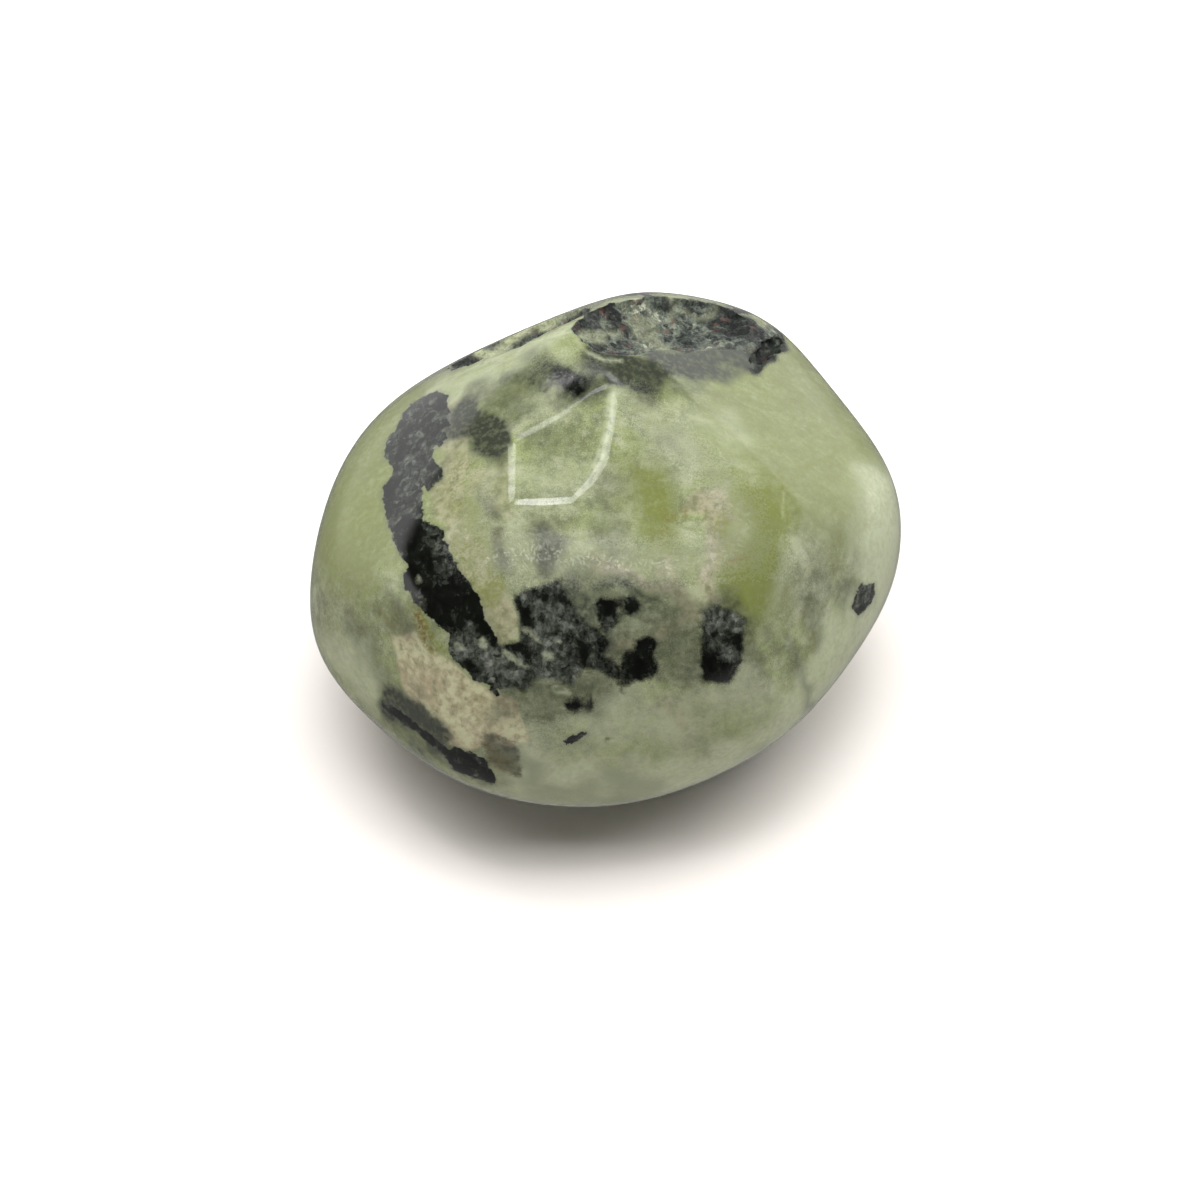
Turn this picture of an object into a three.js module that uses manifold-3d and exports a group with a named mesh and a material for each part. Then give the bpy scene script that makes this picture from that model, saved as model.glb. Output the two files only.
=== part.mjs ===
// A tumbled stone of pale green prehnite with dark amphibole grown through it.
// Millimetres, +Z up. The stone lies on its small flat spot, whose plane is z = 0.
import * as THREE from "three";
import { mergeVertices } from "three/addons/utils/BufferGeometryUtils.js";
import Module from "manifold-3d";

// The lump as it broke: each flat break by the compass bearing and the rise of its outward
// normal, in degrees, and its reach from the stone's heart.
const breaks = [
  { side: "right end", bearing: 0, rise: 0, reach: 15.35 },
  { side: "right shoulder", bearing: 31, rise: 22, reach: 14.55 },
  { side: "back top", bearing: 76, rise: 39, reach: 13.6 },
  { side: "back left top", bearing: 122, rise: 41, reach: 11.5 },
  { side: "left shoulder", bearing: 146, rise: 25, reach: 13.3 },
  { side: "left end", bearing: 170, rise: 9, reach: 14.1 },
  { side: "left end low", bearing: 188, rise: -5, reach: 15.55 },
  { side: "left under", bearing: 221, rise: -28, reach: 14.2 },
  { side: "front under left", bearing: 247, rise: -38, reach: 13.5 },
  { side: "front under", bearing: 270, rise: -40, reach: 13.55 },
  { side: "front under right", bearing: 302, rise: -35, reach: 12.75 },
  { side: "right under", bearing: 330, rise: -22, reach: 13.5 },
  { side: "front", bearing: 277, rise: 5, reach: 13.2 },
  { side: "front left", bearing: 225, rise: 15, reach: 13.9 },
  { side: "front right", bearing: 324, rise: 18, reach: 13.5 },
  { side: "front slope", bearing: 268, rise: 38, reach: 12.2 },
  { side: "crown", bearing: 268, rise: 70, reach: 10.3 },
  { side: "crown left", bearing: 180, rise: 58, reach: 11.2 },
  { side: "crown right", bearing: 20, rise: 60, reach: 11.2 },
  { side: "back", bearing: 95, rise: 0, reach: 13.2 },
  { side: "back left", bearing: 140, rise: -12, reach: 13.8 },
  { side: "back right", bearing: 45, rise: -15, reach: 13.9 },
  { side: "back under", bearing: 90, rise: -45, reach: 12.0 },
  { side: "under left", bearing: 178, rise: -60, reach: 11.0 },
  { side: "under right", bearing: 8, rise: -58, reach: 11.2 },
  { side: "under front", bearing: 275, rise: -68, reach: 10.5 },
  { side: "under back", bearing: 100, rise: -66, reach: 10.4 },
  { side: "base", bearing: 0, rise: -90, reach: 9.9 },
];

// Shallow dents where flakes came off, worn smooth since, and one low swell, whose depth is
// negative: the bearing and rise of each from the heart, its half width in degrees, its depth.
const dents = [
  { bearing: 47, rise: 32, spread: 13, depth: -0.35 },
  { bearing: 300, rise: 62, spread: 13, depth: 0.22 },
  { bearing: 262, rise: 14, spread: 12, depth: 0.18 },
  { bearing: 200, rise: 20, spread: 11, depth: 0.2 },
  { bearing: 120, rise: -5, spread: 13, depth: 0.3 },
  { bearing: 20, rise: -30, spread: 12, depth: 0.22 },
];

// Hollows that the tumbling never reached, rough inside: the middle of each mouth, the run of
// its long axis, its outward direction, half its length and width, its depth, and the height
// of the lumps on its floor.
const hollows = [
  { name: "top pit", at: [3.4, 6.8, 19.6], run: [0.8, 0.44, -0.43], out: [0.3, 0.42, 0.86],
    half: [5.5, 2.7], depth: 1.4, lumps: 0.22 },
  { name: "pit's near lobe", at: [0.9, 4.8, 21.1], run: [0.9, 0.2, -0.15], out: [0.1, 0.2, 0.97],
    half: [2.4, 2.1], depth: 1.1, lumps: 0.18 },
  { name: "back hollow", at: [-4.2, 6.9, 18.2], run: [0.86, -0.03, 0.51],
    out: [-0.41, 0.65, 0.64], half: [4.3, 2.9], depth: 1.1, lumps: 0.16 },
  { name: "groove", at: [8.15, 6.9, 17.0], run: [-0.4, -0.85, 0.5], out: [0.6, 0.2, 0.8],
    half: [2.1, 0.45], depth: 0.4, lumps: 0.03 },
];

// How hard the corners are: a high number keeps the breaks flat, a low one wears it to a ball.
const hardness = 17;
const heart = new THREE.Vector3(0, 0, 10);

// The height at which the flat spot under the stone cuts the lump.
const restHeight = 0.35;

const radians = THREE.MathUtils.degToRad;

function outward({ bearing, rise }) {
  const [b, r] = [radians(bearing), radians(rise)];
  return new THREE.Vector3(Math.cos(r) * Math.cos(b), Math.cos(r) * Math.sin(b), Math.sin(r));
}

const breakNormals = breaks.map(outward);
const dentMiddles = dents.map(outward);

// The distance from the heart to the worn skin in one direction.
function wornReach(direction) {
  let sum = 0;
  breaks.forEach(({ reach }, i) => {
    sum += Math.max(0, breakNormals[i].dot(direction) / reach) ** hardness;
  });
  const dented = dents.reduce((depth, dent, i) => {
    const away = dentMiddles[i].angleTo(direction) / radians(dent.spread);
    return depth + dent.depth * Math.exp(-away * away);
  }, 0);
  return sum ** (-1 / hardness) - dented;
}

function movePoints(geometry, move) {
  const place = geometry.getAttribute("position");
  const p = new THREE.Vector3();
  for (let i = 0; i < place.count; i++) {
    p.fromBufferAttribute(place, i);
    move(p);
    place.setXYZ(i, p.x, p.y, p.z);
  }
}

function closed(geometry) {
  geometry.deleteAttribute("normal");
  geometry.deleteAttribute("uv");
  return mergeVertices(geometry);
}

// A ball of radius 1 whose points stand in rows of equal angle on the six sides of a box.
function gridBall(columns) {
  const ball = closed(new THREE.BoxGeometry(2, 2, 2, columns, columns, columns));
  const eighth = Math.PI / 4;
  movePoints(ball, (p) => {
    p.set(...p.toArray().map((side) => Math.tan(side * eighth))).normalize();
  });
  return ball;
}

function wornLump() {
  const columns = 25;
  const lump = gridBall(columns);
  movePoints(lump, (p) => p.multiplyScalar(wornReach(p)).add(heart));
  return lump;
}

// The broken grain on a hollow's floor: crossed waves, each with its turns per millimetre
// along the three axes.
const grainWaves = [
  { along: [2.3, 0, 1.1], over: [-0.7, 2.9, 0], phase: 1.3, share: 0.6 },
  { along: [5.1, -2.2, 0], over: [0, 3.9, 4.7], phase: 0.6, share: 0.4 },
];

function grain(p) {
  return grainWaves.reduce((height, { along, over, phase, share }) => {
    const first = Math.sin(p.dot(new THREE.Vector3(...along)));
    const second = Math.sin(p.dot(new THREE.Vector3(...over)) + phase);
    return height + share * first * second;
  }, 0);
}

// What is missing from a hollow: a squarish pebble that stands half out of the skin.
function hollowCutter({ at, run, out, half, depth, lumps }) {
  const columns = 12;
  const squareness = 2.6;
  const raised = 0.5;
  const thick = depth / (1 - raised);
  const widest = (1 - raised ** squareness) ** (-1 / squareness);
  const radii = new THREE.Vector3(half[0] * widest, half[1] * widest, thick);
  const along = new THREE.Vector3(...run).normalize();
  const up = new THREE.Vector3(...out);
  up.addScaledVector(along, -up.dot(along)).normalize();
  const across = new THREE.Vector3().crossVectors(up, along);
  const turn = new THREE.Matrix4().makeBasis(along, across, up);
  const middle = new THREE.Vector3(...at).addScaledVector(up, thick * raised);
  const pebble = gridBall(columns);
  movePoints(pebble, (p) => {
    const size = p.toArray().reduce((sum, side) => sum + Math.abs(side) ** squareness, 0);
    p.multiplyScalar(size ** (-1 / squareness)).multiply(radii).applyMatrix4(turn).add(middle);
    p.addScaledVector(up, lumps * grain(p));
  });
  return pebble;
}

function belowRest() {
  const wide = 60;
  const tall = 20;
  return closed(new THREE.BoxGeometry(wide, wide, tall).translate(0, 0, restHeight - tall / 2));
}

const wasm = await Module();
wasm.setup();

function solid(geometry) {
  return new wasm.Manifold(new wasm.Mesh({
    numProp: 3,
    vertProperties: geometry.getAttribute("position").array,
    triVerts: new Uint32Array(geometry.index.array),
  }));
}

function geometryOf(manifold) {
  const mesh = manifold.getMesh();
  const geometry = new THREE.BufferGeometry();
  geometry.setAttribute("position", new THREE.BufferAttribute(mesh.vertProperties, 3));
  geometry.setIndex(new THREE.BufferAttribute(mesh.triVerts, 1));
  geometry.computeVertexNormals();
  return geometry;
}

let body = solid(wornLump());
for (const hollow of hollows) {
  body = body.subtract(solid(hollowCutter(hollow)));
}
body = body.subtract(solid(belowRest()));

// The origin is the middle of the stone's box, on the plane that it rests on.
const skin = geometryOf(body);
skin.computeBoundingBox();
const box = skin.boundingBox;
skin.translate(-(box.min.x + box.max.x) / 2, -(box.min.y + box.max.y) / 2, -box.min.z);

const material = new THREE.MeshStandardMaterial({ color: 0xa3aa84, roughness: 0.12, metalness: 0 });
const stone = new THREE.Mesh(skin, material);
stone.name = "stone";

const part = new THREE.Group();
part.add(stone);
export default part;
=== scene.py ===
# A tumbled stone: a pale green pebble with dark amphibole grown through it, polished all over
# but for the rough hollows on its top. Metres, +Z up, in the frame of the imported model.
import math

import bpy
import numpy as np
from mathutils import Matrix, Vector, noise


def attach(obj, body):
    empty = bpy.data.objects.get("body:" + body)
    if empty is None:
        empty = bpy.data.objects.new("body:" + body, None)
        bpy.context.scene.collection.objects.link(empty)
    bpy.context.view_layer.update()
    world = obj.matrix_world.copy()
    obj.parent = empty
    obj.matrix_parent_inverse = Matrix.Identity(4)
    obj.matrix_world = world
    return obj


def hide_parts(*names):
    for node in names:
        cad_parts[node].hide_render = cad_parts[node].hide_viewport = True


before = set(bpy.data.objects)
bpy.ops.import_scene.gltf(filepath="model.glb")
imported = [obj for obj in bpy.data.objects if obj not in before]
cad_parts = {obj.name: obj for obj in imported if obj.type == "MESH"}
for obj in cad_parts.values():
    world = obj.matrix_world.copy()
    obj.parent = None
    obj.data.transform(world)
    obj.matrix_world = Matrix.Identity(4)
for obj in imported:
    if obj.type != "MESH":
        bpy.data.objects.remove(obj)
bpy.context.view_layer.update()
mm = 0.001


# Camera. It looks down at the stone from the front, far enough off that the sides of the
# picture hardly converge. Places on the seen side are given below in the picture's pixels.
picture_side = 1200
pixels_per_mm = 20
view_distance = 300 * mm
view_rise = math.radians(50)
near_clip = 10 * mm
sensor_width = 36
heart = Vector((0, 0, 9.65 * mm))
heart_in_picture = (606, 551)

to_right = Vector((1, 0, 0))
to_top = Vector((0, math.sin(view_rise), math.cos(view_rise)))
to_eye = Vector((0, -math.cos(view_rise), math.sin(view_rise)))
heart_off_middle = Vector((heart_in_picture[0] - picture_side / 2, picture_side / 2 - heart_in_picture[1]))
heart_off_middle *= mm / pixels_per_mm
eye = heart - heart_off_middle.x * to_right - heart_off_middle.y * to_top + view_distance * to_eye

bpy.ops.object.camera_add(location=eye, rotation=(math.pi / 2 - view_rise, 0, 0))
camera = bpy.context.object
camera.name = "camera"
camera.data.sensor_width = sensor_width
camera.data.lens = sensor_width * (view_distance / mm) * pixels_per_mm / picture_side
camera.data.clip_start = near_clip
bpy.context.scene.camera = camera


# The polished body. A lump of green stone that broke along flat faces and was then worn round
# for weeks in a barrel: it starts as a ball, is drawn tight onto the lump and is rubbed smooth.
ball_radius = 18 * mm
ball_columns = 66
evening_rounds = 4
evening_turns = 60
rub_turns = 24
closest_weld = 0.001 * mm
over_mouth = 1.25


def select_only(piece):
    bpy.ops.object.select_all(action="DESELECT")
    piece.select_set(True)
    bpy.context.view_layer.objects.active = piece


def apply_modifier(piece, kind, **settings):
    select_only(piece)
    modifier = piece.modifiers.new(kind.lower(), kind)
    for name, value in settings.items():
        setattr(modifier, name, value)
    bpy.ops.object.modifier_apply(modifier=modifier.name)


def rub(piece, turns, **settings):
    apply_modifier(piece, "SMOOTH", factor=0.5, iterations=turns, **settings)


def edit_all(piece, operator, **settings):
    """One mesh operator on the whole of a piece."""
    select_only(piece)
    bpy.ops.object.mode_set(mode="EDIT")
    bpy.ops.mesh.select_all(action="SELECT")
    operator(**settings)
    bpy.ops.object.mode_set(mode="OBJECT")


def split_faces(piece, chosen):
    """Each chosen face becomes four, which follow the curve of the faces around it."""
    select_only(piece)
    bpy.ops.object.mode_set(mode="EDIT")
    bpy.ops.mesh.select_mode(type="FACE")
    bpy.ops.mesh.select_all(action="DESELECT")
    bpy.ops.object.mode_set(mode="OBJECT")
    piece.data.polygons.foreach_set("select", chosen)
    bpy.ops.object.mode_set(mode="EDIT")
    bpy.ops.mesh.subdivide(number_cuts=1, smoothness=1.0)
    bpy.ops.object.mode_set(mode="OBJECT")


def merged_copy(node, name):
    copy = bpy.data.objects.new(name, node.data.copy())
    bpy.context.collection.objects.link(copy)
    edit_all(copy, bpy.ops.mesh.remove_doubles, threshold=closest_weld)
    return copy


def read_vectors(rows, name):
    values = np.empty(len(rows) * 3, np.float32)
    rows.foreach_get(name, values)
    return values.reshape(-1, 3).astype(float)


def vertex_places(piece):
    return read_vectors(piece.data.vertices, "co")


def vertex_normals(piece):
    return read_vectors(piece.data.vertex_normals, "vector")


def face_middles(piece):
    return read_vectors(piece.data.polygons, "center")


def group_of(piece, name, chosen):
    group = piece.vertex_groups.new(name=name)
    group.add(np.flatnonzero(chosen).tolist(), 1.0, "REPLACE")
    return name


# The hollows in the top, which the tumbling never reached: the middle of each mouth, the run of
# its long axis, its outward direction, half its length and width, and its depth, in millimetres.
hollows = {
    "top_pit": dict(at=(3.11, 6.89, 19.25), run=(0.8, 0.44, -0.43), out=(0.3, 0.42, 0.86),
                    half=(5.5, 2.7), depth=1.4),
    "near_lobe": dict(at=(0.61, 4.89, 20.75), run=(0.9, 0.2, -0.15), out=(0.1, 0.2, 0.97),
                      half=(2.4, 2.1), depth=1.1),
    "back_hollow": dict(at=(-4.49, 6.99, 17.85), run=(0.86, -0.03, 0.51), out=(-0.41, 0.65, 0.64),
                        half=(4.3, 2.9), depth=1.1),
    "groove": dict(at=(7.86, 6.99, 16.65), run=(-0.4, -0.85, 0.5), out=(0.6, 0.2, 0.8),
                   half=(2.1, 0.45), depth=0.4),
}


def mouth_axes(hollow):
    along = Vector(hollow["run"]).normalized()
    up = Vector(hollow["out"])
    up = (up - up.dot(along) * along).normalized()
    return along, up.cross(along), up


def mouth_reach(hollow, places):
    """How far each place is from the mouth's middle, as a share of the way to its rim."""
    near_level = 4
    out_of_reach = 99
    along, across, up = mouth_axes(hollow)
    away = places / mm - np.array(hollow["at"])
    reach = np.hypot(away @ along / hollow["half"][0], away @ across / hollow["half"][1])
    return np.where(np.abs(away @ up) < near_level, reach, out_of_reach)


def nearest_mouth(places):
    return np.min([mouth_reach(hollow, places) for hollow in hollows.values()], axis=0)


rough_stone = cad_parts["stone"]
lump = merged_copy(rough_stone, "lump")
hull = merged_copy(rough_stone, "hull")
edit_all(hull, bpy.ops.mesh.convex_hull)

bpy.ops.object.select_all(action="DESELECT")
bpy.ops.mesh.primitive_cube_add(size=2 * ball_radius, location=heart)
stone = bpy.context.object
stone.name = "polished_stone_body"
edit_all(stone, bpy.ops.mesh.subdivide, number_cuts=ball_columns - 1)
for _ in range(evening_rounds):
    apply_modifier(stone, "CAST", factor=1.0, size=ball_radius, use_radius_as_size=False)
    rub(stone, evening_turns)
apply_modifier(stone, "SHRINKWRAP", target=hull, wrap_method="PROJECT", use_negative_direction=True)
bpy.ops.object.transform_apply(location=True, rotation=True, scale=True)
skin = group_of(stone, "skin", nearest_mouth(vertex_places(stone)) > over_mouth)
apply_modifier(stone, "SHRINKWRAP", target=lump, vertex_group=skin)
rub(stone, rub_turns)
stone.vertex_groups.clear()
stone.data.materials.append(bpy.data.materials.new("skin"))


# The markings on the seen side, by their outlines and strokes in the picture's pixels. The
# amphibole shows black where it comes to the skin, and grey-green where it lies deeper.
black_outlines = {
    "band's top": [
        (425, 395), (436, 391), (447, 396), (446, 403), (450, 413), (450, 425), (443, 431), (447, 437),
        (441, 445), (434, 444), (433, 452), (435, 463), (443, 470), (441, 478), (435, 482), (428, 491),
        (423, 485), (422, 518), (432, 524), (443, 531), (442, 543), (420, 560), (405, 560), (392, 535),
        (387, 517), (384, 500), (385, 484), (392, 472), (386, 456), (387, 441), (397, 430), (400, 416),
        (410, 405),
    ],
    "band's foot": [
        (392, 538), (402, 558), (408, 567), (403, 575), (404, 586), (413, 600), (425, 615), (440, 627),
        (448, 634), (447, 650), (456, 662), (467, 671), (473, 681), (486, 684), (500, 690), (515, 684),
        (512, 664), (500, 652), (497, 637), (487, 622), (480, 606), (481, 598), (470, 582), (459, 570),
        (452, 553), (443, 540), (420, 535),
    ],
    "right end spot": [(857, 592), (862, 583), (873, 585), (876, 594), (868, 609), (858, 614), (851, 608)],
    "low left lumps": [
        (446, 753), (456, 747), (468, 751), (482, 757), (488, 766), (497, 778), (495, 784), (482, 780),
        (466, 775), (452, 768),
    ],
}
black_strokes = {
    "slanted splinter": ([(566, 742), (575, 738), (582, 735)], 5),
    "low left line": ([(384, 704), (402, 718), (421, 732), (438, 745), (452, 757)], 7),
    "dot by the floor": ([(493, 688), (497, 693)], 6),
    "top crack": ([(625, 294), (637, 294), (650, 296)], 3),
    "second crack": ([(689, 301), (702, 303), (714, 306)], 3),
    "third crack": ([(722, 310), (737, 311), (751, 313)], 3),
}

# Amphibole that ends below the skin, so that its edges are blurred by the green stone over it.
sunken_outlines = {
    "speckled floor": [
        (495, 645), (512, 642), (519, 640), (519, 622), (513, 601), (520, 592), (540, 585), (550, 580),
        (560, 579), (566, 590), (571, 600), (580, 616), (597, 628), (612, 640), (604, 655), (618, 664),
        (618, 682), (600, 672), (582, 671), (573, 684), (560, 681), (535, 680), (525, 690), (500, 686),
    ],
    "square block": [(594, 602), (600, 598), (617, 601), (619, 618), (612, 630), (601, 638), (597, 622)],
    "small block": [(624, 598), (634, 596), (641, 606), (634, 617), (627, 614)],
    "right of the middle": [
        (636, 640), (650, 635), (658, 640), (655, 656), (664, 672), (648, 681), (634, 680), (622, 690),
        (619, 672), (624, 652), (634, 650),
    ],
    "right block": [
        (701, 613), (716, 604), (736, 612), (744, 618), (744, 650), (742, 664), (730, 683), (703, 683),
        (699, 664), (701, 640),
    ],
    "blurred shard": [
        (547, 370), (560, 366), (575, 371), (590, 380), (586, 392), (578, 397), (566, 391), (555, 383),
    ],
    "left of two dots": [(565, 704), (570, 698), (580, 699), (579, 712), (570, 716)],
    "right of two dots": [(583, 702), (591, 696), (595, 705), (589, 714), (582, 711)],
}
sunken_strokes = {
    "fine line": ([(530, 380), (538, 385), (545, 391)], 2),
    "low line": ([(622, 688), (621, 692)], 4),
    "tiny dot": ([(606, 740), (612, 739)], 4),
    "pit's bank": ([(744, 344), (756, 336)], 5),
}

# Where the amphibole is blackest, by strokes with their width in pixels. Most soft strokes below
# also have a strength.
darkest_spots = {
    "band's elbow": ([(405, 530), (410, 545), (425, 560)], 22),
    "band's edge": ([(408, 578), (413, 592), (428, 606)], 14),
    "band's foot": ([(412, 550), (430, 590), (452, 620)], 26),
    "band's right": ([(456, 580), (474, 602)], 28),
    "band's inner": ([(476, 612), (480, 622), (495, 642)], 12),
    "middle blade": ([(571, 645), (577, 658), (581, 666)], 14),
    "square": ([(606, 606), (606, 614)], 20),
    "small": ([(630, 604), (632, 608)], 14),
    "right of middle": ([(640, 645), (642, 660), (636, 674)], 20),
    "right block low": ([(710, 664), (716, 672)], 24),
    "right block right": ([(732, 630), (738, 640)], 8),
    "green block": ([(518, 602), (524, 618)], 14),
    "green block's top": ([(543, 593), (549, 600)], 8),
    "floor spots": ([(470, 672), (478, 677)], 10),
    "floor nick": ([(520, 646), (524, 656)], 10),
    "floor nick low": ([(532, 671), (535, 677)], 7),
    "band's upper left": ([(388, 490), (390, 505)], 8),
    "blurred shard": ([(556, 374), (568, 384), (582, 394)], 13),
    "low left": ([(446, 758), (470, 764), (492, 776)], 16),
    "low left line": ([(384, 704), (421, 732), (452, 757)], 12),
    "two dots": ([(572, 706), (587, 706)], 18),
    "slanted splinter": ([(566, 742), (582, 735)], 10),
}

# Soft dark veils, where amphibole lies deeper in the green.
veils = {
    "left cloud": ([(466, 420), (480, 430), (494, 436)], 42, 1.0),
    "left cloud's heart": ([(474, 424), (486, 434)], 14, 1.0),
    "left cloud's tail": ([(500, 440), (507, 450), (498, 462)], 12, 0.7),
    "under the ridge": ([(478, 400), (505, 392), (520, 410)], 30, 0.5),
    "ridge cloud": ([(505, 382), (530, 372), (545, 385)], 24, 0.75),
    "upper cloud": ([(548, 372), (570, 385), (588, 388)], 36, 0.9),
    "right of the shard": ([(588, 375), (600, 384)], 16, 0.45),
    "cloud under the pit": ([(598, 362), (625, 368), (648, 370), (690, 362), (738, 356)], 34, 1.0),
    "deeper under the pit": ([(618, 374), (645, 386)], 36, 0.95),
    "pit's far bank": ([(576, 322), (600, 304), (640, 295), (700, 299), (750, 314)], 9, 0.32),
    "fan's haze": ([(590, 592), (640, 598), (672, 616), (600, 650), (580, 640)], 54, 0.5),
    "trail under the pit": ([(655, 388), (700, 380)], 22, 0.45),
    "by the pit's end": ([(735, 350), (765, 342)], 20, 0.8),
    "in the loop": ([(540, 442), (575, 432)], 20, 0.3),
    "right of the loop": ([(606, 470), (610, 520), (612, 545)], 22, 0.3),
    "mid cloud": ([(548, 538), (547, 558)], 28, 0.72),
    "brown cloud": ([(497, 533), (499, 562)], 16, 0.62),
    "small cloud": ([(487, 500), (489, 514)], 8, 0.65),
    "blue smear": ([(596, 530), (618, 536)], 30, 0.35),
    "over the middle": ([(596, 588), (620, 582), (648, 596)], 18, 0.85),
    "right of the square": ([(640, 604), (668, 618)], 26, 0.7),
    "right of the green block": ([(570, 585), (580, 610)], 20, 0.85),
    "under the middle": ([(505, 704), (558, 700), (600, 696)], 34, 0.5),
    "under the floor": ([(500, 690), (545, 684), (600, 680)], 16, 0.7),
    "grey between": ([(580, 606), (590, 640), (604, 650)], 34, 0.85),
    "grey under the blocks": ([(560, 690), (610, 672), (620, 640)], 26, 0.6),
    "brown zone": ([(655, 652), (690, 642), (690, 668)], 44, 0.6),
    "over right block": ([(708, 602), (736, 606)], 26, 0.75),
    "right of the block": ([(750, 622), (752, 668)], 18, 0.55),
    "by the end spot": ([(848, 588), (846, 604)], 14, 0.45),
    "above the end spot": ([(820, 575), (832, 590)], 12, 0.35),
    "green smear": ([(812, 600), (812, 640)], 12, 0.45),
    "low right line": ([(782, 632), (792, 655), (803, 675), (808, 708)], 7, 0.6),
    "green streak": ([(772, 632), (785, 656)], 8, 0.5),
    "low left shade": ([(398, 704), (418, 714), (438, 738)], 34, 1.0),
    "low left deep": ([(392, 716), (430, 748), (480, 778)], 20, 0.6),
    "brown block": ([(494, 742), (504, 752), (510, 768)], 24, 0.3),
    "by the brown block": ([(520, 760), (535, 775)], 18, 0.35),
    "left smudge": ([(388, 606), (410, 630)], 24, 0.5),
    "left streak": ([(352, 610), (372, 660), (392, 690)], 14, 0.4),
    "low middle": ([(610, 775), (650, 790)], 26, 0.3),
    "band's haze": ([(440, 470), (455, 440)], 10, 0.2),
    "bottom haze": ([(540, 790), (640, 800)], 20, 0.3),
}

# Where the green is milky, with painted light on it: a painted sheen along the ridge, and painted
# bounce light from the white floor on the low parts. Then where it is deeper in colour: partly the
# stone's own older green, and partly painted shade on the left flank and the bottom, and under and
# right of the crown, where it darkens a hazy reflection of the lamps.
milky_and_painted_light = {
    # Painted sheen along the ridge.
    "painted sheen along the ridge": ([(440, 400), (500, 376), (560, 350)], 10, 0.6),
    "right end": ([(880, 490), (888, 560), (872, 640)], 50, 1.0),
    # Painted bounce light from the white floor on the low right.
    "right low": ([(846, 640), (826, 690), (780, 740)], 56, 0.8),
    "fan's light": ([(566, 555), (585, 560)], 14, 0.3),
    "above the tan": ([(690, 430), (730, 440), (740, 470)], 34, 0.35),
    "in the loop": ([(530, 480), (570, 475)], 24, 0.25),
    "between the clouds": ([(520, 400), (560, 404)], 10, 0.3),
    # Painted bounce light from the white floor, on the low parts of the stone.
    "low left": ([(335, 640), (352, 668), (372, 690)], 30, 0.8),
    "low middle": ([(600, 730), (640, 718), (680, 735)], 50, 0.5),
    "bottom": ([(530, 775), (600, 782), (680, 780), (740, 764)], 50, 0.85),
    "low right": ([(730, 700), (780, 706)], 50, 0.4),
}
deeper_green_and_painted_shade = {
    # Painted shade on the left flank, over the stone's own deeper green.
    "left flank": ([(395, 420), (365, 480), (350, 540)], 100, 0.85),
    "left foot": ([(340, 640), (380, 720), (440, 775)], 50, 0.12),
    "right flank": ([(760, 380), (800, 420), (835, 480)], 130, 0.75),
    "upper left": ([(415, 395), (500, 372), (570, 352)], 44, 0.5),
    "beside the band": ([(465, 500), (465, 560)], 40, 0.5),
    "bottom": ([(500, 780), (600, 796), (700, 770)], 60, 0.15),
    "low right": ([(700, 730), (760, 720)], 60, 0.2),
    "middle right": ([(650, 480), (680, 560)], 40, 0.2),
    "right of the tan strip": ([(760, 520), (755, 590)], 60, 1.0),
    "over the tan": ([(640, 480), (660, 540)], 40, 0.7),
    # Painted shade under and right of the crown, darkening where the lamps' reflection spreads a haze.
    "under the crown": ([(490, 550), (600, 562), (740, 556)], 34, 0.6),
    "right of the crown": ([(640, 400), (690, 450), (740, 490)], 36, 0.5),
    "along the band": ([(470, 480), (462, 540), (480, 590)], 40, 0.5),
}

# Cream feldspar in the skin, pale splinters of it with painted highlights on worn rims and the
# crown's edge, and amphibole that is speckled with it.
creams = {
    "along the band": ([(446, 408), (458, 440), (446, 480), (448, 520), (468, 560), (490, 600), (504, 634)],
                       32, 0.7),
    "beside it": ([(480, 480), (500, 470), (500, 500)], 30, 0.45),
    "finger's tip": ([(500, 610), (505, 636)], 24, 0.9),
    "tan patch": ([(700, 505), (716, 506), (722, 520)], 28, 1.0),
    "tan strip": ([(712, 520), (711, 560), (706, 600)], 16, 1.0),
    "tan foot": ([(680, 606), (698, 618)], 16, 0.95),
    "over the middle": ([(597, 562), (615, 566), (640, 574), (660, 588), (682, 606)], 12, 1.0),
    "speckles": ([(664, 566), (672, 590), (690, 600)], 18, 0.6),
    "right of the pit": ([(764, 326), (780, 336)], 12, 0.6),
    "ridge line": ([(608, 656), (635, 643), (660, 632), (698, 622)], 8, 0.95),
    "low bright": ([(660, 700), (676, 722)], 14, 0.5),
}
splinters_and_painted_highlights = {
    "on the floor": ([(505, 652), (515, 660), (527, 667)], 6),
    "sliver": ([(523, 628), (531, 634), (538, 640)], 6),
    "white fleck": ([(545, 656), (551, 657)], 8),
    "fleck": ([(556, 640), (559, 641)], 6),
    "low fleck": ([(552, 687), (568, 693)], 5),
    "band's fleck": ([(418, 579), (419, 582)], 6),
    "by the band": ([(482, 641), (484, 646)], 7),
    "in the band": ([(457, 645), (460, 647)], 6),
    "vertical line": ([(783, 492), (784, 520), (780, 548)], 3),
    # Painted highlights: the worn rims of the ridge and the pit, and the bright edge of the crown's facet.
    "ridge's painted highlight": ([(437, 383), (470, 369), (500, 356), (530, 343), (571, 331)], 2.5),
    "pit rim's painted highlight": ([(576, 340), (588, 353), (604, 360), (622, 361)], 2.5),
    "crown edge's painted highlight": ([(612, 396), (608, 430), (600, 458), (588, 484)], 9),
}
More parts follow.
